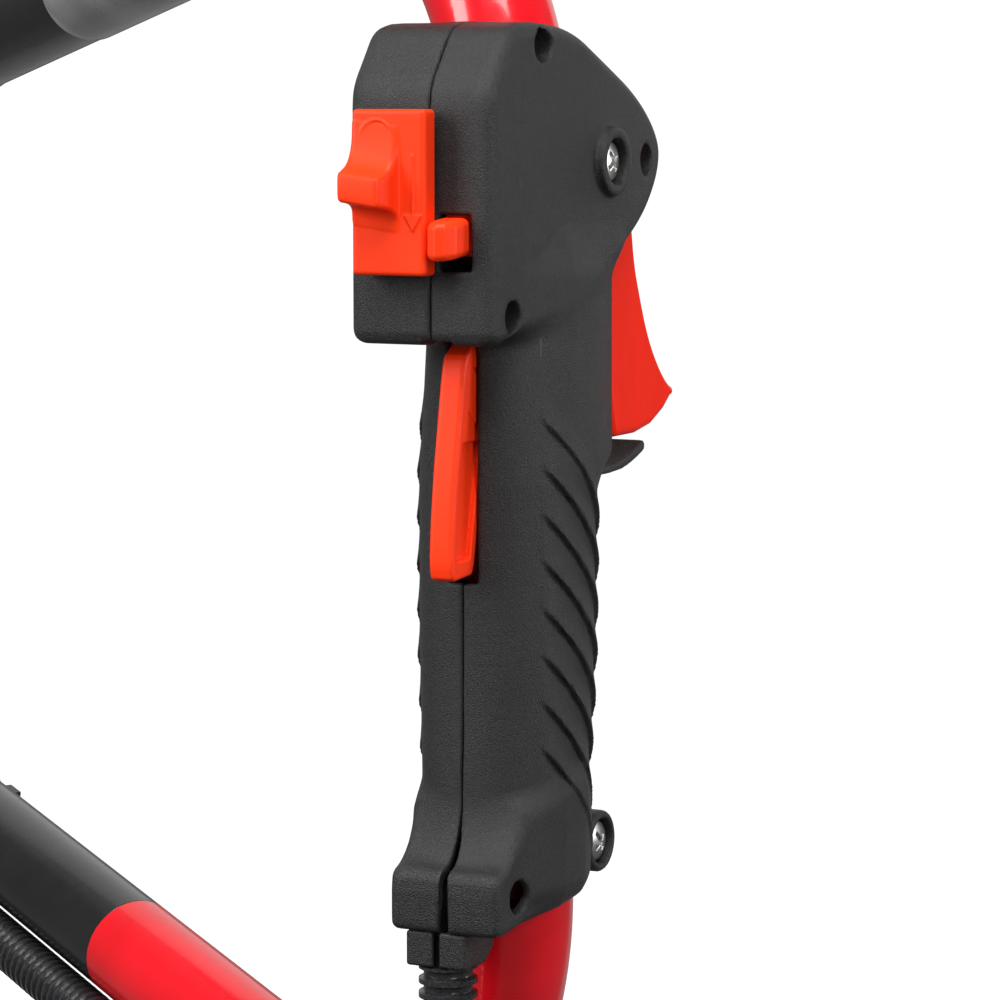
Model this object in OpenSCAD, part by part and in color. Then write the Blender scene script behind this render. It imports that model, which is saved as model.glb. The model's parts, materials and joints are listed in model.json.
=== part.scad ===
// Control handle of a walk behind leaf blower: a bent loop of tube with two bolted legs,
// and a two-half throttle grip clamped round its upright.
// X runs along the legs, Y across the loop and Z up. The origin is the lower leg's bolt hole.
// The grip's own frame is turned about Z: its +X is the right shell, its -Y is the palm side.

/* [Tube loop] */
// Outside diameter of the handle tube
tube_d = 25.4; // [25:0.1:25.6]
// Wall thickness of the tube
tube_wall = 1.5; // [1.2:0.1:2]
// Centre-line radius of both bends
bend_r = 64; // [63:0.5:65]
// Slope of each leg towards the other
leg_slope = 11; // [10:0.5:12]
// Distance from the grip's axis to the bolt holes
leg_reach = 300; // [290:5:330]
// Distance along the lower leg from its corner to the seam between red tube and black leg
lower_seam = 176; // [165:1:185]
// Distance along the upper leg from its corner to the same seam
upper_seam = 120; // [116:1:130]
// Length of leg beyond its bolt hole
leg_tail = 16; // [12:1:25]
// Diameter of the bolt hole through each leg's end
bolt_d = 8.4; // [6.6:0.1:9]
// Height of the upper corner above the grip's datum
upper_corner = 147; // [146:0.5:149]
// Depth of the lower corner below the grip's datum
lower_corner = 161; // [160:0.5:163]

/* [Grip] */
// Angle that the grip is turned about its tube
grip_turn = 30; // [25:1:35]
// Half width of the grip across the shells
grip_half_w = 17; // [16.5:0.1:18]
// Half depth of the grip from palm to fingers
grip_half_d = 21.3; // [20.5:0.1:22]
// Thickness of the moulded shell walls
shell_wall = 2.6; // [2.2:0.1:2.8]
// Gap along the parting line between the shells
parting_gap = 0.1; // [0.05:0.05:0.3]
// Number of diagonal ribs on each side of the grip
rib_count = 8; // [4:1:8]
// Height between neighbouring ribs
rib_pitch = 9.8; // [9:0.1:10]

/* [Controls] */
// Full pull of the throttle trigger in degrees
trigger_pull = 18; // [12:1:18]
// Half width of the trigger blade
trigger_half_w = 9.5; // [8:0.1:9.6]
// Width of the lockout lever
lever_w = 5.3; // [5:0.1:5.6]
// Travel of the stop slider
stop_travel = 4; // [3:0.5:4]
// Travel of the throttle lock
lock_travel = 2.5; // [2:0.1:2.5]

/* [Cable] */
// Outside diameter of the corrugated conduit
conduit_d = 12.2; // [11:0.1:12.4]
// Inside diameter of the corrugated conduit
conduit_bore = 9.8; // [9.6:0.1:10]
// Outside diameter of the throttle cable's sheath
sheath_d = 4; // [3.5:0.1:4.2]
// Outside diameter of each stop wire
stop_wire_d = 1.9; // [1.5:0.1:2]

/* [Hidden] */
$fn = 48;

tube_r = tube_d / 2;
bore_r = tube_r - tube_wall;
turn = 90 + leg_slope;
tangent_len = bend_r * tan(turn / 2);
bolt_at = leg_reach / cos(leg_slope);
datum_z = lower_corner - leg_reach * tan(leg_slope);
bend_up_z = upper_corner - tangent_len;
bend_low_z = tangent_len - lower_corner;
sleeve_half = 30;
sleeve_gap = 0.16;
sleeve_wall = 1.4;
bush_r = 6;
rivet_at = 15;
film_bands = [[123, 195], [261, 288]];
film_t = 0.35;
seat_r = tube_r + 0.15;

// Pivots and centres in the grip's frame, as [y, z]
trigger_at = [24, 62];
lockout_at = [-19.5, 33];
clamp_at = [20.5, -74.5];
head_screw_at = [15.4, 70];
shell_screws_at = [[-12.8, 93.6], [35.5, 70], [-24.8, 39.4], [-22.4, -78.6]];

// Throttle arm: it swings evenly about level, so its tip moves nearly straight up
arm_len = 37.3;
wire_at = [-11, trigger_at.x - arm_len];
nipple_z = trigger_at.y - arm_len * sin(trigger_pull / 2);
nipple_r = 2.2;
wire_r = 0.6;
guard_r = 56.3;

// Centres of the gland and of the stop wires' groove, as [x, y]
gland_at = [-2, -25];
wires_at = [11, -13.4];
gland_top = -81;
gland_shoulder = -85.7;
gland_foot = -93;

// Side outline of the head as [y, z], and its plan as [x, y], both anticlockwise
head_side = [[-34.5, 37.5], [-32.8, 35], [-26, 34.6], [-8, 39.2], [11, 46], [29, 54], [38, 60.5],
             [44, 67], [44.4, 72], [41, 77.5], [32, 83.6], [13, 91.4], [3, 96], [-15, 98], [-22, 97.4],
             [-30, 94], [-34.5, 87]];
head_plan = concat(arc([-15, -29.5], 5, 180, 270, 5), arc([7.2, -28.9], 5.6, 270, 360, 5),
                   [[12.9, -14], [14.6, 0], [14.9, 14], [14.3, 30], [13.2, 45]],
                   [[-13.2, 45], [-17, 36], [-20, 24]]);
block_side = [[-31.5, -84], [-29.8, -85.6], [-20, -85], [-5, -83.2], [6, -81.4], [12.5, -78], [14, -66],
              [0, -58], [-21, -60], [-26.5, -69], [-31.5, -74]];
block_hollow = [[-28.9, -82.6], [-12, -82.6], [-12, -59], [-19.4, -59], [-20, -61.5], [-24.8, -69.3],
                [-28.9, -74.8]];
block_plan = [[-12, -31.5], [12, -31.5], [12.4, -20], [15.4, -8], [15.4, 2], [12, 14], [-12, 14],
              [-15.4, 2], [-15.4, -8], [-12.4, -20]];

// Route of the conduit from the gland to the leg's end, in the loop's frame
conduit_route = [[311, -23, 9.4], [311, -23, 4], [310.5, -22.8, -6], [307, -21.8, -20],
                 [299, -19.2, -33], [288, -17, -45], [273, -15, -55], [256, -13, -60.8],
                 [238, -12, -62.2], [222, -11, -59.5],
                 [200, -11, -55], [160, -11, -47.2], [120, -11, -39.5], [80, -11, -31.7], [40, -11, -24],
                 [14, -11, -18.9]];
// Route of the throttle cable's sheath down the grip, and of the stop wires, in the grip's frame
sheath_top = [[-11, -13.3, 44], [-11, -13.3, 0], [-11, -13.3, -20], [-8.6, -14.2, -36], [-6.4, -15.4, -50],
              [-5.4, -17, -60], [-5, -21.5, -69], [-4.5, -24.5, -73], [-4.1, -26.2, -77], [-4, -26.2, -80.5],
              [-3.9, -25.2, -85], [-3.9, -25, -89]];
wires_top = [[-9, -24, 52.4], [-8.8, -24, 51.4], [-7, -24.3, 50], [0, -23.5, 48.5], [4.6, -19.5, 48],
             [7.6, -15.9, 46.5], [10.2, -13.9, 44], [11, -13.4, 41], [11, -13.4, 0], [11, -13.4, -20], [8.6, -14.2, -36],
             [6.4, -15.4, -50], [5.2, -17.2, -60], [4, -22.2, -69], [2.8, -25, -73], [1.6, -26.5, -77],
             [0.5, -26.4, -80.5], [0.3, -25.2, -85], [0.4, -25, -89]];
// Places of the sheath and of the two wires across the conduit, and where they end beyond the leg
sheath_beside = [-1.9, -1.1];
wires_beside = [[2.8, 0.2], [1.5, 2.4]];
sheath_end = [-4, -12.1, -13.6];
wires_end = [[-2, -9.6, -22.6], [-2, -8.6, -18.2]];
lead_in = 7 * [cos(leg_slope), 0, -sin(leg_slope)];

function seam(upper) = upper ? upper_seam : lower_seam;
function unit(v) = v / norm(v);
function arc(c, r, a0, a1, n) = [for (i = [0:n]) let (a = a0 + (a1 - a0) * i / n)
    c + r * [cos(a), sin(a)]];
function grip_pt(p) = [leg_reach + p.x * cos(grip_turn) - p.y * sin(grip_turn),
                       p.x * sin(grip_turn) + p.y * cos(grip_turn), datum_z + p.z];
// A superellipse of half axes a and b about [0, cy]: power 2 is an ellipse, more is squarer
function root(s, power) = sign(s) * pow(abs(s), 2 / power);
function oval(a, b, cy, power, n) = [for (i = [0:n - 1]) let (t = 360 * i / n)
    [a * root(cos(t), power), cy + b * root(sin(t), power)]];
// An anticlockwise outline moved inwards by d
function inset(p, d) = let (n = len(p)) [for (i = [0:n - 1]) let (
    e1 = unit(p[i] - p[(i + n - 1) % n]), e2 = unit(p[(i + 1) % n] - p[i]),
    n1 = [-e1.y, e1.x], n2 = [-e2.y, e2.x]) p[i] + d * (n1 + n2) / (1 + n1 * n2)];
// A smooth curve through points p, with k steps in each span
function curve_pt(a, b, c, d, t) = 0.5 * (2 * b + (c - a) * t + (2 * a - 5 * b + 4 * c - d) * t * t
    + (3 * b - a - 3 * c + d) * t * t * t);
function curve(p, k) = let (n = len(p)) concat([for (i = [0:n - 2], j = [0:k - 1])
    curve_pt(p[max(i - 1, 0)], p[i], p[i + 1], p[min(i + 2, n - 1)], j / k)], [p[n - 1]]);
function heading(p, i) = unit(p[min(i + 1, len(p) - 1)] - p[max(i - 1, 0)]);
// The two directions across a route that heads along t
function side_u(t) = unit(cross(t, [0, 1, 0]));
function side_v(t) = cross(side_u(t), t);
// A route moved sideways by u in the loop's plane and v across it
function beside(p, u, v) = [for (i = [0:len(p) - 1]) let (t = heading(p, i))
    p[i] + u * side_u(t) + v * side_v(t)];
function hoop(p, i, r, n) = let (t = heading(p, i))
    [for (k = [0:n - 1]) let (a = 360 * k / n) p[i] + r * (cos(a) * side_u(t) + sin(a) * side_v(t))];

// The quads between m rings of n points
function skin(m, n) = [for (i = [0:m - 2], k = [0:n - 1]) let (a = i * n + k, b = i * n + (k + 1) % n)
    [a, b, b + n, a + n]];

// A solid cord swept along path p
module cord(p, r, n = 8) {
    m = len(p);
    points = [for (i = [0:m - 1]) each hoop(p, i, r, n)];
    start = [for (k = [n - 1:-1:0]) k];
    end = [for (k = [0:n - 1]) (m - 1) * n + k];
    polyhedron(points, concat(skin(m, n), [start, end]));
}

// A hollow pipe swept along path p
module pipe(p, r_out, r_in, n = 12) {
    m = len(p);
    half = m * n;
    points = [for (r = [r_out, r_in], i = [0:m - 1]) each hoop(p, i, r, n)];
    outer = skin(m, n);
    inner = [for (f = outer) [for (j = [3:-1:0]) half + f[j]]];
    ends = [for (k = [0:n - 1]) each let (a = k, b = (k + 1) % n, c = (m - 1) * n)
        [[b, a, a + half, b + half], [c + a, c + b, c + b + half, c + a + half]]];
    polyhedron(points, concat(outer, inner, ends));
}

module at_grip() translate([leg_reach, 0, datum_z]) rotate([0, 0, grip_turn]) children();
// Along a leg: +Z runs from the corner to the leg's end
module on_upper()
    translate([leg_reach, 0, datum_z + upper_corner]) rotate([0, -90 - leg_slope, 0]) children();
module on_lower()
    translate([leg_reach, 0, datum_z - lower_corner]) rotate([0, leg_slope - 90, 0]) children();
module on_leg(upper) { if (upper) on_upper() children(); else on_lower() children(); }
module annulus(r_out, r_in) difference() { circle(r_out); circle(r_in); }
module sleeve(z0, z1, r_out, r_in) translate([0, 0, z0]) linear_extrude(z1 - z0) annulus(r_out, r_in);
// A cylinder along the grip's X axis at [y, z]
module rod_x(x0, x1, r, at) translate([x0, at.x, at.y]) rotate([0, 90, 0]) cylinder(r = r, h = x1 - x0);
// An outline in [y, z] extruded from x0 to x1
module across(x0, x1) translate([x0, 0, 0]) rotate([90, 0, 90]) linear_extrude(x1 - x0) children();
module block(lo, hi) translate(lo) cube(hi - lo);
module upright(z0, z1) translate([0, 0, z0]) linear_extrude(z1 - z0) children();

// ---- the tube loop ----
// Centre line of the red tube, from the lower seam round to the upper one
function leg_pt(upper, reach) = [leg_reach - reach * cos(leg_slope), 0, datum_z
    + (upper ? upper_corner - reach * sin(leg_slope) : reach * sin(leg_slope) - lower_corner)];
function bend_pt(upper, a) = [leg_reach - bend_r + bend_r * cos(a), 0, datum_z
    + (upper ? bend_up_z + bend_r * sin(a) : bend_low_z - bend_r * sin(a))];
bend_steps = 15;
loop_path = concat([leg_pt(false, lower_seam), leg_pt(false, tangent_len + 5)],
    [for (i = [bend_steps:-1:0]) bend_pt(false, turn * i / bend_steps)],
    [for (i = [0:bend_steps]) bend_pt(true, turn * i / bend_steps)],
    [leg_pt(true, tangent_len + 5), leg_pt(true, upper_seam)]);
module upper_bend(span, start) translate([leg_reach - bend_r, 0, datum_z + bend_up_z])
    rotate([90, 0, 0]) rotate([0, 0, start])
        rotate_extrude(angle = span, $fn = 96) translate([bend_r, 0]) children();

module loop_tube() color("#b81219") pipe(loop_path, tube_r, bore_r, 24);
// A sleeve inside each seam that carries the red tube into the black leg
module joint_sleeves() color("#8b8b88") for (upper = [true, false]) on_leg(upper)
    translate([0, 0, seam(upper)])
        sleeve(-sleeve_half, sleeve_half, bore_r - sleeve_gap, bore_r - sleeve_gap - sleeve_wall);

module leg(upper) on_leg(upper) difference() {
    sleeve(seam(upper), bolt_at + leg_tail, tube_r, bore_r);
    translate([0, 0, bolt_at]) rotate([90, 0, 0]) cylinder(r = bush_r, h = 40, center = true);
    translate([0, 0, seam(upper) + rivet_at]) rotate([-90, 0, 0]) cylinder(r = 2, h = 20);
}
module upper_leg() color("#222222") leg(true);
module lower_leg() color("#222222") leg(false);

module leg_bushes() color("#8b8b88") for (upper = [true, false]) on_leg(upper)
    translate([0, 0, bolt_at]) rotate([90, 0, 0]) translate([0, 0, -tube_r - 0.6])
        linear_extrude(tube_d + 1.2) annulus(bush_r, bolt_d / 2);

module leg_rivets() color("#3a3a3a") for (upper = [true, false]) on_leg(upper)
    translate([0, 0, seam(upper) + rivet_at]) rotate([-90, 0, 0]) {
        translate([0, 0, bore_r]) cylinder(r = 1.95, h = tube_wall + 0.2);
        translate([0, 0, tube_r]) cylinder(r1 = 3.6, r2 = 2.4, h = 1.4);
    }

// Two bands of clear protective film round the upper leg, with a hole for the rivet
module leg_sleeve() color("#5c6064") on_upper() difference() {
    for (band = film_bands) sleeve(band[0], band[1], tube_r + film_t, tube_r + 0.02);
    translate([0, 0, upper_seam + rivet_at]) rotate([-90, 0, 0]) cylinder(r = 4, h = 20);
}

module end_plug() difference() {
    union() {
        translate([0, 0, bolt_at + leg_tail]) cylinder(r = tube_r, h = 2.5);
        translate([0, 0, bolt_at + leg_tail - 7]) cylinder(r = bore_r - 0.05, h = 7);
    }
    translate([0, 0, bolt_at + leg_tail - 7.1]) cylinder(r = bore_r - 1.8, h = 7.1);
}
module upper_end_plug() color("#1b1b1b") on_upper() end_plug();
module lower_end_plug() color("#1b1b1b") on_lower() end_plug();

// A thin trim ring where the tube leaves the head
module top_collar() color("#2c2c2c") upper_bend(1.6, 26.5) annulus(tube_r + 0.7, tube_r + 0.03);

// ---- the grip's shells ----
// The straight seat for the tube, and a looser hole at each end where the tube starts to bend
module tube_seat() {
    upright(bend_low_z - 1, bend_up_z + 1) circle(seat_r);
    rotate([0, 0, -grip_turn]) {
        translate([1.9, 0, bend_up_z - 4]) rotate([0, -14.5, 0]) cylinder(r = seat_r + 1.5, h = 40);
        translate([0.5, 0, bend_low_z + 2]) rotate([0, 180 + 6, 0]) cylinder(r = seat_r + 0.5, h = 16);
    }
}
module head_form(gap) intersection() {
    across(-21, 16) polygon(inset(head_side, gap));
    upright(30, 100) polygon(inset(head_plan, gap));
}
module grip_form() {
    upright(-70, 46) polygon(oval(grip_half_w, grip_half_d, -1.6, 2.2, 48));
    intersection() {
        across(-16, 16) polygon(block_side);
        upright(-92, -56) polygon(block_plan);
    }
    // cheeks beside the trigger, and the finger guard below it
    block([-13.2, 6, 2], [13.2, 23, 52]);
    block([-11.5, 6, 4.6], [11.5, 45, 10.4]);
    rod_x(-9.5, 9.5, 6.4, clamp_at);
    block([-9.5, 12, clamp_at.y - 6.4], [9.5, clamp_at.x, clamp_at.y + 6.4]);
    head_form(0);
}
module grip_ribs(side) for (i = [0:rib_count - 1])
    translate([side * (grip_half_w - 0.4), 6, 11 - i * rib_pitch])
        rotate([-62, 0, 0]) translate([-0.9, -1, -11]) cube([1.8, 2, 22]);
module boss(at, r) rod_x(-19, 16, r, at);

module grip_cuts() {
    tube_seat();
    // hollow of the head, with a boss kept for each screw
    difference() {
        head_form(shell_wall);
        boss(head_screw_at, 3.3);
        for (at = shell_screws_at) boss(at, 4.2);
        rod_x(10.4, 16, 4, trigger_at);
    }
    // hollow before the tube for the lockout lever, and the grooves for cable and wires
    intersection() {
        upright(-60, 46) polygon(oval(grip_half_w - shell_wall, grip_half_d - shell_wall, -1.6, 2.2, 48));
        block([-10.4, -24, -60], [10.4, -9, 46]);
    }
    block([-lever_w / 2 - 0.4, -40, -15.4], [lever_w / 2 + 0.4, -12, 35]);
    block([-lever_w / 2 - 0.4, -23.2, 30], [lever_w / 2 + 0.4, -12, 45]);
    for (at = [wire_at, wires_at]) translate([at.x, at.y, -46]) cylinder(r = 2.35, h = 92);
    translate([wire_at.x, wire_at.y, 36]) cylinder(r = 3.2, h = 12);
    // hollow of the bottom block round its screw's boss, and the gland's seat
    difference() {
        across(-8.6, 8.6) polygon(block_hollow);
        rod_x(-16, -6.8, 2.9, shell_screws_at[3]);
        rod_x(0, 16, 2.9, shell_screws_at[3]);
    }
    block([gland_at.x - 7.1, gland_at.y - 4.8, gland_foot],
          [gland_at.x + 7.1, gland_at.y + 7.1, gland_top + 0.2]);
    // trigger slot, swept round the trigger's pivot
    intersection() {
        rod_x(-10.3, 10.3, guard_r, trigger_at);
        block([-10.3, 11, 0], [10.3, 70, trigger_at.y + 2]);
    }
    // slots for the stop slider and the throttle lock
    block([-14.8, -36, 59.4 - stop_travel], [-5.2, -31, 69]);
    block([0.6, -36, 51.3 - lock_travel], [7.7, -31, 60]);
    // holes for pins and screws
    rod_x(-19.1, 13, 2.0, trigger_at);
    rod_x(-16.4, -10.2, 6, trigger_at);
    rod_x(-5.7, 5.7, 1.5, lockout_at);
    screw_hole(head_screw_at, 4.8, 13.2, 1.75);
    for (at = shell_screws_at) screw_hole(at, 3.4, 6, 1.45);
    rod_x(-12, 12, 2.65, clamp_at);
    rod_x(-12, -6.5, 4.7, clamp_at);
    rod_x(7.9, 12, 4.9, clamp_at);
}
module screw_hole(at, head_r, floor_x, shank_r) {
    rod_x(floor_x, 20, head_r, at);
    rod_x(-13, 20, shank_r, at);
}
module half_space(side)
    translate([side > 0 ? parting_gap / 2 : -40 - parting_gap / 2, -60, -120]) cube([40, 140, 240]);
module shell_half(side) at_grip() union() {
    difference() {
        intersection() {
            grip_form();
            half_space(side);
        }
        grip_cuts();
    }
    grip_ribs(side);
}
module left_shell() color("#2e2e2e") shell_half(-1);
module right_shell() color("#2e2e2e") shell_half(1);

// ---- fasteners ----
module pan_screw(at, head_x, head_r, head_h, shank_r, tip_x) {
    difference() {
        rod_x(head_x, head_x + head_h, head_r, at);
        for (a = [0, 90]) translate([head_x + head_h, at.x, at.y])
            rotate([a, 0, 0]) cube([2.4, head_r * 1.2, 1], center = true);
    }
    rod_x(tip_x, head_x, shank_r, at);
}
module shell_screws() color("#8f8f8c") at_grip()
    for (at = shell_screws_at) pan_screw(at, 6, 3, 2.2, 1.4, -11.5);
module head_screw() color("#9a9a96") at_grip() pan_screw(head_screw_at, 13.2, 4.3, 2.6, 1.7, -12.5);
module clamp_screw() color("#9a9a96") at_grip() pan_screw(clamp_at, 7.9, 4.4, 2.8, 2.45, -11);
module clamp_nut() color("#8f8f8c") at_grip() difference() {
    translate([-10.6, clamp_at.x, clamp_at.y]) rotate([0, 90, 0]) cylinder(r = 4.5, h = 4, $fn = 6);
    rod_x(-12, -5, 2.5, clamp_at);
}

// ---- throttle trigger ----
trigger_side = [[30, 11], [41, 11.2], [48.6, 12.4], [54.8, 15.4], [60, 19.4], [55.3, 22.6], [50, 27.9],
                [46, 33.8], [42.7, 41], [40, 47.5], [38.6, 53.2], [34, 63], [24, 68.3], [18, 62],
                [17, 54], [23.3, 32]];
module trigger() color("#e81402") at_grip() difference() {
    union() {
        across(-trigger_half_w, trigger_half_w) polygon(trigger_side);
        rod_x(-14, -trigger_half_w, 5.5, trigger_at);
        throttle_arm();
    }
    rod_x(-20, 20, 2.06, trigger_at);
    rod_x(3.5, 10, 5.2, trigger_at);
}
// Arm on the left of the tube, with a fork that lifts the cable's nipple
module throttle_arm() translate([0, trigger_at.x, trigger_at.y]) rotate([trigger_pull / 2, 0, 0]) {
    block([-15.9, -33.3, -4.4], [-13.2, 0, 2.4]);
    block([-15.9, -42, -4.6], [-12.3, -33, -2.55]);
    block([-15.9, -42, -4.6], [-8.2, -39.9, -2.55]);
    block([-9.7, -42, -4.6], [-8.2, -34.8, -2.55]);
}
module trigger_pin() color("#a0a09c") at_grip() rod_x(-19, 12.9, 1.98, trigger_at);
module helix_spring(at, x0, x1, r, wire, turns) {
    steps = 12 * turns;
    path = [for (i = [0:steps]) let (a = 360 * i / 12)
        [x0 + (x1 - x0) * i / steps, at.x + r * cos(a), at.y + r * sin(a)]];
    coil(path, at, wire);
}
// A coil's rings stand out from its own axis, so that it never twists
module coil(p, at, r, n = 8) {
    m = len(p);
    points = [for (q = p) let (out = unit([0, q.y - at.x, q.z - at.y])) each
        [for (k = [0:n - 1]) let (a = 360 * k / n) q + r * (cos(a) * out + sin(a) * [1, 0, 0])]];
    walls = [for (f = skin(m, n)) [for (j = [3:-1:0]) f[j]]];
    polyhedron(points, concat(walls, [[for (k = [0:n - 1]) k]], [[for (k = [n - 1:-1:0]) (m - 1) * n + k]]));
}
module trigger_spring() color("#b4b4b0") at_grip() helix_spring(trigger_at, 4.4, 9, 3.7, 0.45, 4);

// ---- lockout lever ----
lever_side = [[-22.5, -12], [-20, 0], [-15.9, 22], [-15.7, 36], [-16.4, 43], [-18.4, 43], [-21, 35],
              [-24.6, 33.4], [-26.2, 31.5], [-28.6, 20], [-30.8, 8], [-32, -2], [-32.4, -10],
              [-31.6, -12.8], [-30, -13.4], [-23.4, -13]];
module lockout_lever() color("#e85038") at_grip() difference() {
    across(-lever_w / 2, lever_w / 2) polygon(lever_side);
    rod_x(-10, 10, 1.56, lockout_at);
    rod_x(-1.7, 1.7, 3.4, lockout_at);
}
module lockout_pin() color("#a0a09c") at_grip() rod_x(-5.6, 5.6, 1.48, lockout_at);
module lockout_spring() color("#b4b4b0") at_grip() helix_spring(lockout_at, -1, 1, 2.45, 0.25, 3);

// ---- stop switch ----
module stop_slider() color("#f24719") at_grip() {
    block([-16, -39.7, 48], [0.6, -34.95, 80.9]);
    across(-15.8, -6.8) polygon([[-39, 57], [-41, 59.5], [-45.4, 61.6], [-46, 63], [-46, 67], [-45.2, 68.3],
                                 [-41.6, 70.5], [-39.8, 76], [-39, 77]]);
    block([-14, -35, 60], [-6, -31.2, 68.2]);
    block([-15.6, -31.5, 58], [-4.4, -29.8, 70]);
}
module stop_bridge() color("#c9a64b") at_grip() block([-14, -29.8, 61], [-6, -29.3, 65.5]);
module switch_base() color("#3b3b3b") at_grip() difference() {
    block([-16, -28.4, 52.5], [-3.4, -20.5, 76]);
    for (x = [-13.6, -8.4]) block([x, -28.5, 54], [x + 2, -27.8, 70]);
}
module contact_strips() color("#c9a64b") at_grip()
    for (x = [-13.6, -8.4]) block([x, -28.9, 54], [x + 2, -27.8, 70]);
module throttle_lock() color("#f82508") at_grip() {
    block([0.9, -39.1, 51.6], [7.4, -33, 59.4]);
    translate([4.15, -39.1, 51.6]) cylinder(r = 3.25, h = 7.2);
    block([2, -35, 52.6], [6.6, -31.2, 58.6]);
    block([0.8, -31.5, 51.8], [8.4, -29.8, 60.4]);
}

// ---- throttle cable ----
module throttle_wire() color("#9b9b98") at_grip()
    translate([wire_at.x, wire_at.y, 20]) cylinder(r = wire_r, h = nipple_z - 20 - nipple_r + 0.3);
module cable_nipple() color("#c9a64b") at_grip() difference() {
    rod_x(-13.9, -8.5, nipple_r, [wire_at.y, nipple_z]);
    translate([wire_at.x, wire_at.y, nipple_z - 5]) cylinder(r = wire_r, h = 5 - nipple_r + 0.3);
}
module cable_stop() color("#8f8f8c") at_grip()
    translate([wire_at.x, wire_at.y, 0]) sleeve(38, 46.5, 3, sheath_d / 2 + 0.02);
module cable_sheath() color("#1d1d1d") difference() {
    cord(curve(concat([for (p = sheath_top) grip_pt(p)],
        beside(conduit_route, sheath_beside.x, sheath_beside.y),
        [sheath_end + lead_in, sheath_end]), 3), sheath_d / 2, 8);
    at_grip() translate([wire_at.x, wire_at.y, 12]) cylinder(r = 1, h = 40);
}
// Adjuster, inner wire and barrel nipple at the engine's end of the cable
module cable_end() color("#8f8f8c") translate(sheath_end) rotate([0, leg_slope - 90, 0]) {
    cylinder(r = 3, h = 5, $fn = 6);
    translate([0, 0, 5]) cylinder(r = 2.4, h = 12);
    translate([0, 0, 17]) cylinder(r = 0.6, h = 14);
    translate([0, 0, 31]) rotate([90, 0, 0]) cylinder(r = 2.6, h = 6, center = true);
}

// ---- gland and conduit ----
module gland_form() difference() {
    union() {
        block([gland_at.x - 6.6, gland_at.y - 4.6, gland_shoulder - 0.4],
              [gland_at.x + 6.6, gland_at.y + 6.8, gland_top]);
        across(gland_at.x - 6.9, gland_at.x + 6.9) polygon([
            [gland_at.y - 6, gland_foot], [gland_at.y + 3, gland_foot], [gland_at.y + 7, gland_foot + 3],
            [gland_at.y + 7, gland_shoulder], [gland_at.y - 6, gland_shoulder]]);
    }
    translate([gland_at.x, gland_at.y, gland_foot - 1]) cylinder(r = 4.9, h = 20);
}
module gland_left() color("#343434") at_grip() intersection() {
    gland_form();
    block([-20, -40, -110], [gland_at.x - 0.75, 0, 0]);
}
module gland_right() color("#343434") at_grip() intersection() {
    gland_form();
    block([gland_at.x + 0.75, -40, -110], [20, 0, 0]);
}
module conduit() color("#1f1f1f") pipe(curve(conduit_route, 4), conduit_d / 2, conduit_bore / 2, 12);

// A strap round the tube and the conduit, whose centre lies at [dx, dy] from the tube's
module tie(dx, dy) {
    linear_extrude(4, center = true) difference() {
        hull() { circle(tube_r + 1.3, $fn = 32); translate([dx, dy]) circle(conduit_d / 2 + 1.3, $fn = 32); }
        hull() { circle(tube_r + 0.1, $fn = 32); translate([dx, dy]) circle(conduit_d / 2 + 0.35, $fn = 32); }
    }
    translate([0, tube_r + 3.4, 0]) cube([6, 4.2, 6], center = true);
}
module cable_ties() color("#161616") {
    on_lower() translate([0, 0, 276 / cos(leg_slope)]) tie(-15.8, -11);
    translate([leg_reach - bend_r, 0, datum_z + bend_low_z]) rotate([0, 62, 0])
        translate([bend_r, 0, 0]) tie(18.8, -15.2);
}
module stop_wires() color("#1a1a1a") for (i = [0, 1]) {
    apart = (i == 0 ? 1 : -1) * 1.26;
    top = [for (p = wires_top) grip_pt(p + [apart, 0, 0])];
    run = beside(conduit_route, wires_beside[i].x, wires_beside[i].y);
    cord(curve(concat(top, run, [wires_end[i] + lead_in, wires_end[i]]), 3), stop_wire_d / 2, 8);
}
module wire_connectors() color("#b9b9b6") for (at = wires_end)
    translate(at) rotate([0, leg_slope - 90, 0]) {
        cylinder(r = 1.9, h = 9);
        translate([0, 0, 9]) cylinder(r = 1.5, h = 7);
        translate([0, 0, 16]) sphere(r = 1.5);
    }

loop_tube();
upper_leg();
lower_leg();
joint_sleeves();
leg_bushes();
leg_rivets();
leg_sleeve();
upper_end_plug();
lower_end_plug();
top_collar();
left_shell();
right_shell();
shell_screws();
head_screw();
clamp_screw();
clamp_nut();
trigger();
trigger_pin();
trigger_spring();
lockout_lever();
lockout_pin();
lockout_spring();
stop_slider();
stop_bridge();
switch_base();
contact_strips();
throttle_lock();
throttle_wire();
cable_nipple();
cable_stop();
cable_sheath();
cable_end();
gland_left();
gland_right();
conduit();
cable_ties();
stop_wires();
wire_connectors();
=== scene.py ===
# Looks of a walk behind leaf blower's control handle: a bent red tube with black legs and a split
# throttle grip.
# Lengths in the shape code are millimetres of the grip's own frame: +X the right shell, -Y the palm, +Z up.
import json
import math

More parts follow.
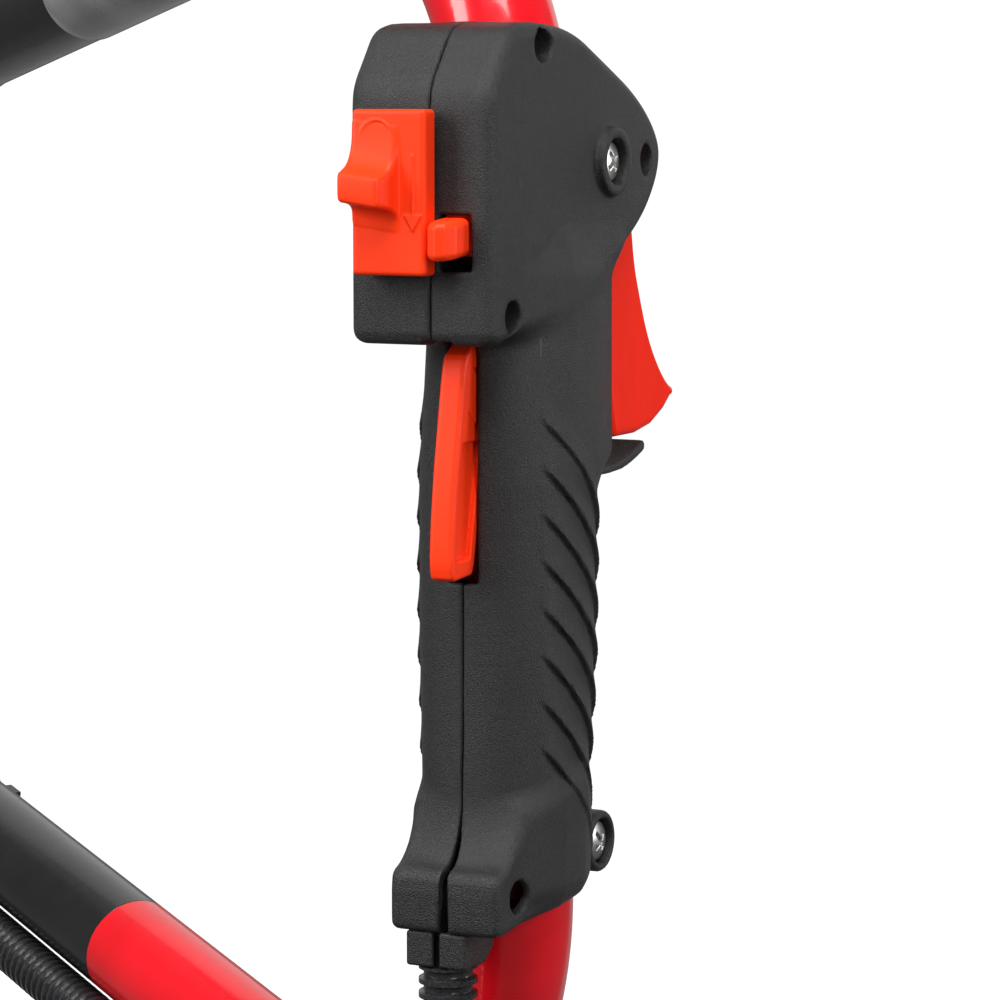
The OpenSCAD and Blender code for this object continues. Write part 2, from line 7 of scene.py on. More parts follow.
import bmesh
import bpy
import numpy as np
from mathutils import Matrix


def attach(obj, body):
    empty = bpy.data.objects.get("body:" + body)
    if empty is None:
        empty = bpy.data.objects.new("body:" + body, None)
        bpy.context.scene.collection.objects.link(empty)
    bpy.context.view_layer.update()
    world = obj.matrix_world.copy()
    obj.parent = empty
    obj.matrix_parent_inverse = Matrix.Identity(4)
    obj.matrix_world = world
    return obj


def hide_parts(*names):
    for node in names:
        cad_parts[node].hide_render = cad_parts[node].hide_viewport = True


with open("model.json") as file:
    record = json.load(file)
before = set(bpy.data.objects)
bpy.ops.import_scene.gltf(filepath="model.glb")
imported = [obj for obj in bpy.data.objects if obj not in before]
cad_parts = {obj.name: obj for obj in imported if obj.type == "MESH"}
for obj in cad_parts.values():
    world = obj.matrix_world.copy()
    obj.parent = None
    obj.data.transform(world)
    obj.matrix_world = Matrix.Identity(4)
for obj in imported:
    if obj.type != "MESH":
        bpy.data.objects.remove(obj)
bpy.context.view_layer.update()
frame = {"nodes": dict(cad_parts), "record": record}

import openvdb
from mathutils import Matrix, Vector

MM = 0.001
JOINTS = {j["name"]: j for j in frame["record"]["behaviour"]["joints"]}

# ---- the grip's frame, from the trigger's hinge ----
TRIGGER_AT = (24.0, 62.0)
LOCKOUT_AT = (-19.5, 33.0)
GRIP_X = -Vector(JOINTS["trigger_pull"]["axis"]).normalized()
GRIP_Z = Vector((0, 0, 1))
GRIP_Y = GRIP_Z.cross(GRIP_X)
HINGE_AT = Vector(JOINTS["trigger_pull"]["pos_m"])
GRIP_AT = HINGE_AT - MM * (TRIGGER_AT[0] * GRIP_Y + TRIGGER_AT[1] * GRIP_Z)
GRIP = Matrix.Translation(GRIP_AT) @ Matrix((GRIP_X, GRIP_Y, GRIP_Z)).transposed().to_4x4()

# ---- the loop ----
TUBE_R = 12.7
BEND_R = 64.0
UPPER_CORNER, LOWER_CORNER = 147.0, -161.0
UPPER_SEAM, LOWER_SEAM = 120.0, 176.0
LEG_TAIL = 16.0
LEG_WALL = 1.5
BUSH_R, BUSH_BORE_R = 6.0, 4.2
RIVET_AT = 15.0
RIVET_SIDE = 12.0  # the middle of its hole's cutter, out from the leg's middle
FILM_BANDS = [(123, 195), (261, 288)]
FILM_THICK = 0.34
COLLAR_LEAN = 6.0  # how far the tube's middle has bent away from the grip's at the collar
HEAD_TOP = [(-20, 98.0), (-12, 98.1), (1, 96.6), (13, 91.4), (33, 83.6)]  # its height, from palm to fingers
COLLAR_SECTION = [(-0.5, 0.04), (-0.5, 0.9), (0.3, 1.0), (0.7, 0.6), (0.7, 0.04)]  # above head, off tube
REACH = GRIP_AT.x / MM
DATUM = GRIP_AT.z / MM
SLOPE = math.atan((-LOWER_CORNER - DATUM) / REACH)
BOLT_AT = REACH / math.cos(SLOPE)
TURN = math.pi / 2 + SLOPE
TANGENT = BEND_R * math.tan(TURN / 2)
BEND_UP, BEND_LOW = UPPER_CORNER - TANGENT, LOWER_CORNER + TANGENT


# ---- meshes ----
def mesh_object(name, points, faces, place=Matrix()):
    """An object from points in millimetres, moved by place, whose translation is in metres."""
    points = np.asarray(points, float) * MM
    turn, shift = np.array(place.to_3x3()), np.array(place.translation)
    points = points @ turn.T + shift
    mesh = bpy.data.meshes.new(name)
    if isinstance(faces, np.ndarray):
        mesh.vertices.add(len(points))
        mesh.vertices.foreach_set("co", points.astype(np.float32).ravel())
        mesh.loops.add(faces.size)
        mesh.loops.foreach_set("vertex_index", faces.astype(np.int32).ravel())
        mesh.polygons.add(len(faces))
        mesh.polygons.foreach_set("loop_start", np.arange(0, faces.size, faces.shape[1], dtype=np.int32))
        mesh.update(calc_edges=True)
    else:
        mesh.from_pydata(points.tolist(), [], faces)
    mesh.validate()
    obj = bpy.data.objects.new(name, mesh)
    bpy.context.scene.collection.objects.link(obj)
    smooth(obj, 50)
    return obj


def smooth(obj, degrees):
    obj.data.polygons.foreach_set("use_smooth", [True] * len(obj.data.polygons))
    obj.data.set_sharp_from_angle(angle=math.radians(degrees))


def finish_piece(obj, material, slot, body, *nodes):
    """Gives a piece its looks and its body, and hides the CAD nodes that it stands for."""
    obj.data.materials.clear()
    obj.data.materials.append(material)
    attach(obj, body)
    if nodes:
        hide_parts(*nodes)


def rings_mesh(name, rings, place=Matrix(), closed=False):
    """A skin over rings of points; open ends get a cap, or a closed run joins its last ring to its first."""
    rings = np.asarray(rings, float)
    count, sides = rings.shape[:2]
    faces = []
    for i in range(count if closed else count - 1):
        j = (i + 1) % count
        for k in range(sides):
            m = (k + 1) % sides
            faces.append((i * sides + k, i * sides + m, j * sides + m, j * sides + k))
    if not closed:
        faces.append(tuple(range(sides))[::-1])
        faces.append(tuple((count - 1) * sides + k for k in range(sides)))
    obj = mesh_object(name, rings.reshape(-1, 3), faces, place)
    face_outwards(obj)
    return obj


def face_outwards(obj):
    work = bmesh.new()
    work.from_mesh(obj.data)
    bmesh.ops.recalc_face_normals(work, faces=work.faces)
    work.to_mesh(obj.data)
    work.free()


def sides_of(path):
    """The two directions across a path that lies near the loop's plane."""
    t = np.gradient(path, axis=0)
    t /= np.linalg.norm(t, axis=1, keepdims=True)
    a = np.cross(t, (0, 1, 0))
    a /= np.linalg.norm(a, axis=1, keepdims=True)
    return a, np.cross(a, t)


def sweep(name, path, radii, sides=48, place=Matrix()):
    """A round skin along a path."""
    path = np.asarray(path, float)
    radii = np.broadcast_to(radii, len(path))[:, None, None]
    a, b = sides_of(path)
    angle = np.linspace(0, 2 * math.pi, sides, endpoint=False)[None, :, None]
    rings = path[:, None] + radii * (np.cos(angle) * a[:, None] + np.sin(angle) * b[:, None])
    return rings_mesh(name, rings, place)


def lathe(name, profile, place, sides=48, closed=False):
    """A shape turned about its own Z from (height, radius) pairs."""
    angle = np.linspace(0, 2 * math.pi, sides, endpoint=False)
    circle = np.stack([np.cos(angle), np.sin(angle), np.zeros(sides)], 1)
    rings = [r * circle + (0, 0, z) for z, r in profile]
    return rings_mesh(name, rings, place, closed)


def bore(obj, place, radius, depth):
    """Cuts a round hole along place's Z."""
    tool = lathe("tool", [(-depth / 2, radius), (depth / 2, radius)], place, 64)
    cut = obj.modifiers.new("bore", "BOOLEAN")
    cut.object, cut.operation, cut.solver = tool, "DIFFERENCE", "EXACT"
    deps = bpy.context.evaluated_depsgraph_get()
    made = bpy.data.meshes.new_from_object(obj.evaluated_get(deps))
    obj.modifiers.clear()
    obj.data = made
    bpy.data.objects.remove(tool)
    smooth(obj, 30)


def catmull(points, steps):
    """A smooth path through all points."""
    p = np.asarray(points, float)
    p = np.vstack([p[0], p, p[-1]])
    t = np.linspace(0, 1, steps, endpoint=False)[:, None]
    runs = []
    for a, b, c, d in zip(p[:-3], p[1:-2], p[2:-1], p[3:]):
        square, cube = 2 * a - 5 * b + 4 * c - d, 3 * b - a - 3 * c + d
        runs.append(0.5 * (2 * b + (c - a) * t + square * t**2 + cube * t**3))
    return np.vstack(runs + [p[-1:]])


def resample(path, gap):
    """The same path with points an even gap apart."""
    along = np.concatenate([[0], np.cumsum(np.linalg.norm(np.diff(path, axis=0), axis=1))])
    want = np.linspace(0, along[-1], int(along[-1] / gap) + 1)
    return np.stack([np.interp(want, along, path[:, i]) for i in range(3)], 1)


# ---- signed distances ----
class Volume:
    """A box of sample points that distances to a shape's surface are worked out over."""

    def __init__(self, lo, hi, step):
        self.lo, self.step = np.array(lo, float), step
        x, y, z = (np.arange(a, b + step, step, dtype=np.float32) for a, b in zip(lo, hi))
        self.x, self.y, self.z = x[:, None, None], y[None, :, None], z[None, None, :]
        self.shape = len(x), len(y), len(z)

    def mesh(self, name, distance, place=GRIP):
        band = 3 * self.step
        grid = openvdb.FloatGrid(band)
        grid.copyFromArray(np.clip(np.broadcast_to(distance, self.shape), -band, band).astype(np.float32))
        points, _, quads = grid.convertToPolygons(isovalue=0.0, adaptivity=0.0)
        return mesh_object(name, points * self.step + self.lo, quads[:, ::-1], place)


def both(a, b, r=0.0):
    """Where two shapes overlap, with their new edge rounded to r."""
    if not r:
        return np.maximum(a, b)
    return np.minimum(np.maximum(a, b), -r) + np.hypot(np.maximum(r + a, 0), np.maximum(r + b, 0))


def either(a, b, r=0.0):
    """Two shapes joined, with a fillet of radius r between them."""
    if not r:
        return np.minimum(a, b)
    return np.maximum(np.minimum(a, b), r) - np.hypot(np.maximum(r - a, 0), np.maximum(r - b, 0))


def without(a, b, r=0.0):
    """A shape with another cut out of it."""
    return both(a, -b, r)


def slab(u, low, high):
    """The room between two parallel planes."""
    return np.abs(u - (low + high) / 2) - (high - low) / 2


def brick(v, lo, hi, r=0.0):
    """A box with rounded edges."""
    parts = [slab(u, a, b) + r for u, a, b in zip((v.x, v.y, v.z), lo, hi)]
    outside = np.sqrt(sum(np.maximum(p, 0) ** 2 for p in parts))
    return outside + np.minimum(np.maximum(np.maximum(parts[0], parts[1]), parts[2]), 0) - r


def rod_x(v, x0, x1, radius, at, r=0.0):
    """A round rod along X, round a (y, z) place."""
    return both(np.hypot(v.y - at[0], v.z - at[1]) - radius, slab(v.x, x0, x1), r)


def rod_z(v, z0, z1, radius, at, r=0.0):
    """A round rod along Z, round an (x, y) place."""
    return both(np.hypot(v.x - at[0], v.y - at[1]) - radius, slab(v.z, z0, z1), r)


def outline(u, v, points, r=0.0):
    """Distance to a closed outline whose corners are rounded to r."""
    points = shrink(points, r) if r else np.asarray(points, float)
    near = np.float32(1e9)
    inside = False
    for (ax, ay), (bx, by) in zip(points, np.roll(points, -1, axis=0)):
        ex, ey = bx - ax, by - ay
        t = np.clip(((u - ax) * ex + (v - ay) * ey) / (ex * ex + ey * ey), 0, 1)
        near = np.minimum(near, (u - ax - ex * t) ** 2 + (v - ay - ey * t) ** 2)
        if ey:
            inside = inside ^ (((ay > v) != (by > v)) & (u < ex * (v - ay) / ey + ax))
    return np.where(inside, -1, 1) * np.sqrt(near) - r


def shrink(points, d):
    """An anticlockwise outline moved inwards by d."""
    p = np.asarray(points, float)
    e1, e2 = p - np.roll(p, 1, axis=0), np.roll(p, -1, axis=0) - p
    e1 /= np.linalg.norm(e1, axis=1, keepdims=True)
    e2 /= np.linalg.norm(e2, axis=1, keepdims=True)
    n1, n2 = np.stack([-e1[:, 1], e1[:, 0]], 1), np.stack([-e2[:, 1], e2[:, 0]], 1)
    return p + d * (n1 + n2) / (1 + np.sum(n1 * n2, axis=1, keepdims=True))


def soften(points, rounds=2):
    """An open run of points whose corners are cut off a few times, which makes a smooth curve of it."""
    p = np.asarray(points, float)
    for _ in range(rounds):
        q = np.empty((2 * len(p) - 2, 2))
        q[0::2], q[1::2] = 0.75 * p[:-1] + 0.25 * p[1:], 0.25 * p[:-1] + 0.75 * p[1:]
        p = np.vstack([p[:1], q, p[-1:]])
    return p


def ease(u, low, high):
    """Runs smoothly from 0 at low to 1 at high."""
    t = np.clip((u - low) / (high - low), 0, 1)
    return t * t * (3 - 2 * t)


def read_off(u, table):
    """The value at u in a table of pairs, with straight runs between them."""
    return np.interp(u, *zip(*table))


# ---- materials ----
def material(name, color, roughness, **settings):
    """A plain material. The settings are other sockets' names, with _ for each space."""
    made = bpy.data.materials.new(name)
    made.use_nodes = True
    shader = made.node_tree.nodes["Principled BSDF"]
    shader.inputs["Base Color"].default_value = (*color, 1)
    shader.inputs["Roughness"].default_value = roughness
    for key, value in settings.items():
        shader.inputs[key.replace("_", " ")].default_value = value
    return made


def add_noise(made, scale, detail=2.0, stretch=(1, 1, 1)):
    """The value of a noise that is fixed to the piece."""
    nodes, links = made.node_tree.nodes, made.node_tree.links
    place = nodes.new("ShaderNodeTexCoord")
    fit = nodes.new("ShaderNodeMapping")
    fit.inputs["Scale"].default_value = stretch
    noise = nodes.new("ShaderNodeTexNoise")
    noise.inputs["Scale"].default_value = scale
    noise.inputs["Detail"].default_value = detail
    links.new(place.outputs["Object"], fit.inputs["Vector"])
    links.new(fit.outputs["Vector"], noise.inputs["Vector"])
    return noise.outputs["Fac"]


def tint(made, source, low, high, start=0.35, end=0.65):
    """Colour that runs from low to high with a source's value."""
    nodes, links = made.node_tree.nodes, made.node_tree.links
    ramp = nodes.new("ShaderNodeValToRGB")
    for stop, position, color in zip(ramp.color_ramp.elements, (start, end), (low, high)):
        stop.position, stop.color = position, (*color, 1)
    links.new(source, ramp.inputs["Fac"])
    links.new(ramp.outputs["Color"], nodes["Principled BSDF"].inputs["Base Color"])


def roughen(made, source, low, high):
    """Roughness that runs from low to high with a source's value."""
    nodes, links = made.node_tree.nodes, made.node_tree.links
    spread = nodes.new("ShaderNodeMapRange")
    spread.inputs["To Min"].default_value, spread.inputs["To Max"].default_value = low, high
    links.new(source, spread.inputs["Value"])
    links.new(spread.outputs["Result"], nodes["Principled BSDF"].inputs["Roughness"])


def emboss(made, layers):
    """Bump from (source, depth in metres) layers, one on another."""
    nodes, links = made.node_tree.nodes, made.node_tree.links
    last = None
    for source, depth in layers:
        bump = nodes.new("ShaderNodeBump")
        bump.inputs["Distance"].default_value = depth
        links.new(source, bump.inputs["Height"])
        if last:
            links.new(last.outputs["Normal"], bump.inputs["Normal"])
        last = bump
    links.new(last.outputs["Normal"], nodes["Principled BSDF"].inputs["Normal"])


def make_shell_plastic():
    made = material("textured_black", (0.03, 0.03, 0.032), 0.5, Specular_IOR_Level=0.4)
    grain = add_noise(made, 3600, 3)
    # the lighter speckles in the base colour are partly the grain's own tone and partly painted glints:
    # sparkles of light off the texture, painted into the colour
    tint(made, grain, (0.003, 0.003, 0.0032), (0.026, 0.026, 0.0265), 0.36, 0.72)
    roughen(made, grain, 0.56, 0.32)
    emboss(made, [(add_noise(made, 160, 2), 0.00004), (grain, 0.00026)])
    return made


def make_orange(name, color):
    made = material(name, color, 0.4, Specular_IOR_Level=0.14)
    flow = add_noise(made, 55, 3, (1, 1, 0.35))
    tint(made, flow, [0.93 * c for c in color], [min(1.06 * c, 1) for c in color])
    roughen(made, add_noise(made, 420, 3), 0.3, 0.48)
    emboss(made, [(add_noise(made, 900, 2), 0.00002), (add_noise(made, 90, 1), 0.00006)])
    return made


def make_red_paint():
    made = material("red_gloss_paint", (0.6, 0.005, 0.01), 0.2, Specular_IOR_Level=0.35, Coat_Weight=0.4,
                    Coat_Roughness=0.05)
    tint(made, add_noise(made, 30, 3), (0.58, 0.004, 0.009), (0.68, 0.006, 0.013))
    roughen(made, add_noise(made, 300, 3), 0.14, 0.26)
    emboss(made, [(add_noise(made, 420, 2), 0.000035)])
    return made


def make_black_paint():
    made = material("black_gloss_paint", (0.006, 0.006, 0.0065), 0.24, Coat_Weight=0.3, Coat_Roughness=0.08)
    tint(made, add_noise(made, 40, 3), (0.004, 0.004, 0.0045), (0.008, 0.008, 0.0085))
    roughen(made, add_noise(made, 260, 3), 0.18, 0.32)
    emboss(made, [(add_noise(made, 500, 2), 0.00003)])
    return made


def make_film():
    made = material("smoky_film", (0.2, 0.2, 0.205), 0.28, Coat_Weight=0.6, Coat_Roughness=0.12)
    tint(made, add_noise(made, 60, 4), (0.15, 0.15, 0.155), (0.24, 0.24, 0.245))
    roughen(made, add_noise(made, 240, 3), 0.2, 0.42)
    emboss(made, [(add_noise(made, 110, 3, (0.3, 1, 1)), 0.00018)])
    return made


def make_black_plastic(name="smooth_black", low=0.3, high=0.46):
    made = material(name, (0.02, 0.02, 0.021), 0.36)
    grain = add_noise(made, 1500, 2)
    tint(made, grain, (0.014, 0.014, 0.015), (0.034, 0.034, 0.036), 0.4, 0.75)
    roughen(made, grain, low, high)
    emboss(made, [(grain, 0.00006)])
    return made


def make_metal(name, low, high, rough_low, rough_high, scale, stretch=(1, 1, 1)):
    made = material(name, high, rough_low, Metallic=1.0)
    tint(made, add_noise(made, 260, 4), low, high, 0.3, 0.7)
    roughen(made, add_noise(made, scale, 3, stretch), rough_low, rough_high)
    emboss(made, [(add_noise(made, scale, 2, stretch), 0.00002)])
    return made


SHELL = make_shell_plastic()
ORANGE = make_orange("orange_moulding", (0.9, 0.04, 0.006))
TRIGGER_ORANGE = make_orange("trigger_moulding", (0.86, 0.016, 0.002))
RED = make_red_paint()
BLACK = make_black_paint()
FILM = make_film()
SMOOTH_BLACK = make_black_plastic()
CONDUIT = make_black_plastic("conduit_black", 0.16, 0.3)
RUBBERY = make_black_plastic("soft_black", 0.45, 0.6)
ZINC = make_metal("zinc_plate", (0.42, 0.43, 0.43), (0.66, 0.66, 0.64), 0.22, 0.42, 700)
SPRING = make_metal("spring_steel", (0.34, 0.34, 0.35), (0.58, 0.58, 0.57), 0.2, 0.35, 1500)
BRASS = make_metal("brass", (0.6, 0.4, 0.14), (0.8, 0.58, 0.25), 0.22, 0.38, 900)

# ---- the grip's shells ----
SHELL_STEP = 0.5
SHELL_LOW, SHELL_HIGH = (-38, -88), (50, 101)
WALL = 2.6
TUBE_GAP = 0.15
CLAMP_AT = (20.5, -74.5)
HEAD_SCREW_AT = (15.4, 70.0)
SHELL_SCREWS_AT = [(-12.8, 93.6), (35.5, 70.0), (-24.8, 39.4), (-22.4, -78.6)]
BOSSES = [(at, 4.2) for at in SHELL_SCREWS_AT[:3]] + [(SHELL_SCREWS_AT[3], 3), (HEAD_SCREW_AT, 3)]
PIN_HOLE = (TRIGGER_AT, 2.02)
BORES = [(at, 1.5) for at in SHELL_SCREWS_AT] + [(HEAD_SCREW_AT, 1.8), (CLAMP_AT, 2.7), PIN_HOLE]
SCREW_WELL_R = 3.45

# opposite corners of the openings
LEVER_SLOT = (-3.15, -40, -15), (3.15, -12, 34.8)
LEVER_POCKET = (-3.15, -23.2, 30), (3.15, -12, 45)
SLIDER_OPENING = (-14.8, -38, 55.4), (-5.2, -31, 69)
LOCK_OPENING = (0.6, -38, 48.8), (7.8, -31, 60)
CABLE_MOUTH = (-9.1, -29.8, -96), (5.1, -17.9, -80.8)
TRIGGER_HALF_GAP = 10.3

# (height, size) pairs: half the grip's width, and its reach towards the palm and the fingers
HALF_WIDTHS = [(-92, 14.6), (-68, 15), (-56, 16), (-30, 16.9), (5, 17), (22, 15.7), (34, 14.9), (50, 14.8)]
PALM_REACH = [(-92, 24), (-64, 23.3), (-40, 22.8), (20, 22.9), (50, 22.6)]
FINGER_REACH = [(-92, 15.2), (-64, 16), (-40, 17.6), (0, 18.5), (50, 18.4)]
GRIP_ENDS = (-79, 48)

GUARD_R = 56.7
GUARD_THICK = 2.6
GUARD_ROOM = (-10, 8, 3.4), (10, 46, 14)
CHEEKS = (-13.2, -8, 6), (13.2, 23.2, 56)
EAR_ENDS, EAR_R = (-9.4, 11.2), 6.6
HEAD_FRONT = soften([(-20, 98), (-24.8, 97), (-28, 92.8), (-33.8, 85.4), (-34.9, 82), (-34.9, 78)], 2)
HEAD_REAR = soften([(-29, 33.8), (-8, 38.8), (11, 46), (29, 53.6), (40, 60.6), (46.4, 68.4), (45.4, 75.6),
                    (33, 83.8), (13, 91.6), (1, 97), (-12, 98.4), (-20, 98)], 3)
HEAD_SIDE = np.vstack([HEAD_FRONT, [(-34.7, 36.2), (-33.4, 34)], HEAD_REAR[:-1]])
HEAD_RIGHT = soften([(12.7, -22), (13.8, -10), (14.7, 4), (14.9, 16), (14.2, 32), (12.6, 47)], 3)
HEAD_PLAN = np.vstack([[(-20.2, -35), (12.6, -35)], HEAD_RIGHT, [(-12.6, 47), (-17, 36), (-20.2, 24)]])
BLOCK_FRONT = soften([(-19, -62), (-23, -67.5), (-27, -71.8), (-31.4, -73.4), (-31.9, -77.5)], 2)
BLOCK_UNDER = soften([(-31.9, -83), (-31.7, -85.6), (-28, -86), (-20, -84.8), (-5, -83), (5, -81.4),
                      (10.5, -79.4), (12.9, -75), (13.2, -66)], 2)
BLOCK_SIDE = np.vstack([BLOCK_FRONT, BLOCK_UNDER, [(0, -57)]])
BLOCK_PLAN = [(-12.3, -33), (12.3, -33), (12.6, -20), (15.3, -8), (15.3, 1), (11.6, 12), (-11.6, 12),
              (-15.3, 1), (-15.3, -8), (-12.6, -20)]

RIB_COUNT = 8
RIB_PITCH = 9.65
RIB_START = (-40.0, 19.5)  # the angle and height at which the first one starts
RIB_FALL = 0.34
RIB_PROUD = 1.0
RIB_RISE, RIB_GROOVE = 7.0, 4.0

SPLIT_ASIDE = -1.4  # the halves meet this far to the side in the head
SPLIT_STEP = (34, 35)  # the heights between which the seam steps aside
SPLIT_GAP = 0.06
FOOT_GAPS = [(-85, 1.1), (-76, 0.85), (-62, 0.06)]  # (height, half the gap at the palm's side)


def oval(x, y, half_w, palm, fingers, power=2.2):
    """Distance to a superellipse that reaches from -palm to fingers in y."""
    middle, depth = (fingers - palm) / 2, (fingers + palm) / 2
    out = np.hypot(x, y - middle)
    share = ((np.abs(x) / half_w) ** power + (np.abs(y - middle) / depth) ** power) ** (1 / power)
    return out * (1 - 1 / np.maximum(share, 1e-3))


def tube_distance(v):
    """Distance to the tube's surface through the grip, with its bends."""
    turn = math.atan2(GRIP_X.y, GRIP_X.x)
    along = v.x * math.cos(turn) - v.y * math.sin(turn)
    across = v.x * math.sin(turn) + v.y * math.cos(turn)
    beyond = np.maximum(v.z - BEND_UP, 0) - np.minimum(v.z - BEND_LOW, 0)
    return np.hypot(np.hypot(along + BEND_R, beyond) - BEND_R, across) - TUBE_R


def ribs(v):
    """How far the diagonal ribs stand proud: each rises slowly from above and drops at a sharp lower edge."""
    angle = np.degrees(np.arctan2((v.y + 1.6) / 21.3, np.abs(v.x) / 17))
    below_first = RIB_START[1] - RIB_FALL * (angle - RIB_START[0]) - v.z
    which = np.clip(np.ceil(below_first / RIB_PITCH), 0, RIB_COUNT - 1)
    above = which * RIB_PITCH - below_first
    nearer = np.clip(np.round(below_first / RIB_PITCH), 0, RIB_COUNT - 1)
    under = below_first - nearer * RIB_PITCH
    rise = np.clip(1 - above / RIB_RISE, 0, 1) ** 1.4 * ease(above, -0.35, 0.35)
    groove = 0.35 * np.clip(1 - under / RIB_GROOVE, 0, 1) ** 2 * ease(under, -0.3, 0.4)
    fade = ease(angle, RIB_START[0], RIB_START[0] + 14) * (1 - ease(angle, 62, 80))
    return RIB_PROUD * fade * (rise - groove)


def from_hinge(v):
    """How far a point is from the trigger's hinge line."""
    return np.hypot(v.y - TRIGGER_AT[0], v.z - TRIGGER_AT[1])


def grip_form(v):
    """The outside of both shells together, before any hole is cut."""
    z = v.z
    sizes = [read_off(z, table) for table in (HALF_WIDTHS, PALM_REACH, FINGER_REACH)]
    body = oval(v.x, v.y, *sizes) - ribs(v)
    body = both(body, slab(z, *GRIP_ENDS), 1.5)
    head = both(outline(v.y, z, HEAD_SIDE), outline(v.x, v.y, HEAD_PLAN, 4.5), 3)
    foot = both(outline(v.y, z, BLOCK_SIDE), outline(v.x, v.y, BLOCK_PLAN, 2.5), 1.8)
    cheeks = brick(v, *CHEEKS, 4.5)
    swing = from_hinge(v)
    guard = both(slab(swing, GUARD_R, GUARD_R + GUARD_THICK), slab(v.x, -9, 9), 1.0)
    guard = both(guard, brick(v, *GUARD_ROOM, 1), 0.8)
    ear = rod_x(v, *EAR_ENDS, EAR_R, CLAMP_AT, 1.0)
    body = either(body, cheeks, 8)
    body = either(body, guard, 4)
    body = either(body, foot, 5)
    body = either(body, ear, 2)
    return either(body, head, 4.5)


def trigger_slot(v):
    """The room that the trigger sweeps through."""
    sweep_room = both(from_hinge(v) - GUARD_R, slab(v.x, -TRIGGER_HALF_GAP, TRIGGER_HALF_GAP))
    return both(sweep_room, slab(v.y, 10, 70))


def hollow(v, form):
    """The hollow inside the shells, less the posts for screws and hinge pins."""
    inner = form + WALL
    for at, radius in BOSSES:
        inner = without(inner, rod_x(v, -19, 15, radius, at))
    inner = without(inner, rod_x(v, 10.4, 16, 4, TRIGGER_AT))
    for start, end in [(-8, -3.2), (3.2, 8)]:
        inner = without(inner, rod_x(v, start, end, 3.2, LOCKOUT_AT))
    return inner


def cut_openings(v, solid):
    """Makes room for the tube and for all that moves."""
    solid = without(solid, tube_distance(v) - TUBE_GAP)
    solid = without(solid, trigger_slot(v), 0.5)
    solid = without(solid, brick(v, *LEVER_SLOT), 0.6)
    solid = without(solid, brick(v, *LEVER_POCKET))
    solid = without(solid, brick(v, *SLIDER_OPENING))
    solid = without(solid, brick(v, *LOCK_OPENING, 0.3), 0.4)
    return without(solid, rod_x(v, 13.2, 30, 4.8, HEAD_SCREW_AT), 0.5)


def cut_holes(v, solid):
    """Drills for the screws, hinge pins and the clamp's nut."""
    for at in SHELL_SCREWS_AT:
        solid = without(solid, rod_x(v, 6, 30, SCREW_WELL_R, at), 0.25)
    for at, radius in BORES:
        solid = without(solid, rod_x(v, -19, 13 if at == TRIGGER_AT else 30, radius, at))
    solid = without(solid, rod_x(v, -5.7, 5.7, 1.52, LOCKOUT_AT))
    solid = without(solid, rod_x(v, 7.9, 30, 4.9, CLAMP_AT), 0.5)
    return without(solid, rod_x(v, -30, -6.5, 4.7, CLAMP_AT), 0.5)


def shell_half(name, side, inner_x, outer_x):
    """One moulded half: the whole grip's shape, hollowed, drilled and cut off at the seam."""
    low_x, high_x = sorted((inner_x, outer_x))
    v = Volume((low_x, *SHELL_LOW), (high_x, *SHELL_HIGH), SHELL_STEP)
    form = grip_form(v)
    inner = hollow(v, form)
    if side > 0:
        form = either(form, rod_x(v, 10, 16.7, 7.2, HEAD_SCREW_AT, 0.7), 0.8)
    solid = cut_holes(v, cut_openings(v, both(form, -inner)))
    solid = without(solid, brick(v, *CABLE_MOUTH))
    gap = read_off(v.z, FOOT_GAPS) * ease(-v.y, -10, 12) + SPLIT_GAP
    split = SPLIT_ASIDE * ease(v.z, *SPLIT_STEP)
    solid = both(solid, gap - side * (v.x - split), 0.3)
    finish_piece(v.mesh(name + "_moulding", solid), SHELL, "shell_plastic", "handle", name)


shell_half("left_shell", -1, 0.6, -22)
shell_half("right_shell", 1, -2.6, 19)


# ---- orange controls ----
TRIGGER_FRONT = soften([(38.6, 55), (40, 47.5), (42.7, 41), (46, 33.8), (50, 27.9), (55.3, 22.4),
                        (60, 19.6)], 2)
TRIGGER_SIDE = np.vstack([[(30, 11), (41, 11.1), (48.6, 12.4), (55, 15.2), (60.2, 18.9)],
                          TRIGGER_FRONT[::-1], [(34, 63), (24, 68.3), (18, 62), (17, 54), (23.3, 32)]])
TRIGGER_HALF = 9.5
ARM_TILT = math.radians(9)
# the arm and the hook that holds the nipple: x, then reach along the arm, then height across it
ARM_PARTS = [((-15.9, -13.2), (-33.3, 0), (-4.4, 2.4)), ((-15.9, -12.3), (-42, -33), (-4.6, -2.55)),
             ((-15.9, -8.2), (-42, -39.9), (-4.6, -2.55)), ((-9.7, -8.2), (-42, -34.8), (-4.6, -2.55))]


def make_trigger():
    """The trigger's blade, and its arm that pulls the wire."""
    v = Volume((-17, -21, 5), (11, 63, 72), 0.4)
    blade = both(outline(v.y, v.z, TRIGGER_SIDE, 1.0), slab(v.x, -TRIGGER_HALF, TRIGGER_HALF), 1.6)
    blade = either(blade, rod_x(v, -14, -9, 5.5, TRIGGER_AT, 0.4))
    dy, dz = v.y - TRIGGER_AT[0], v.z - TRIGGER_AT[1]
    arm_y = dy * math.cos(ARM_TILT) + dz * math.sin(ARM_TILT)
    arm_z = -dy * math.sin(ARM_TILT) + dz * math.cos(ARM_TILT)
    for wide, reach, height in ARM_PARTS:
        part = both(both(slab(v.x, *wide), slab(arm_y, *reach)), slab(arm_z, *height), 0.3)
        blade = either(blade, part)
    blade = without(blade, rod_x(v, -20, 20, 2.06, TRIGGER_AT))
    blade = without(blade, rod_x(v, 3.5, 12, 5.2, TRIGGER_AT))
    piece = v.mesh("trigger_blade", blade)
    finish_piece(piece, TRIGGER_ORANGE, "orange_plastic", "trigger", "trigger")


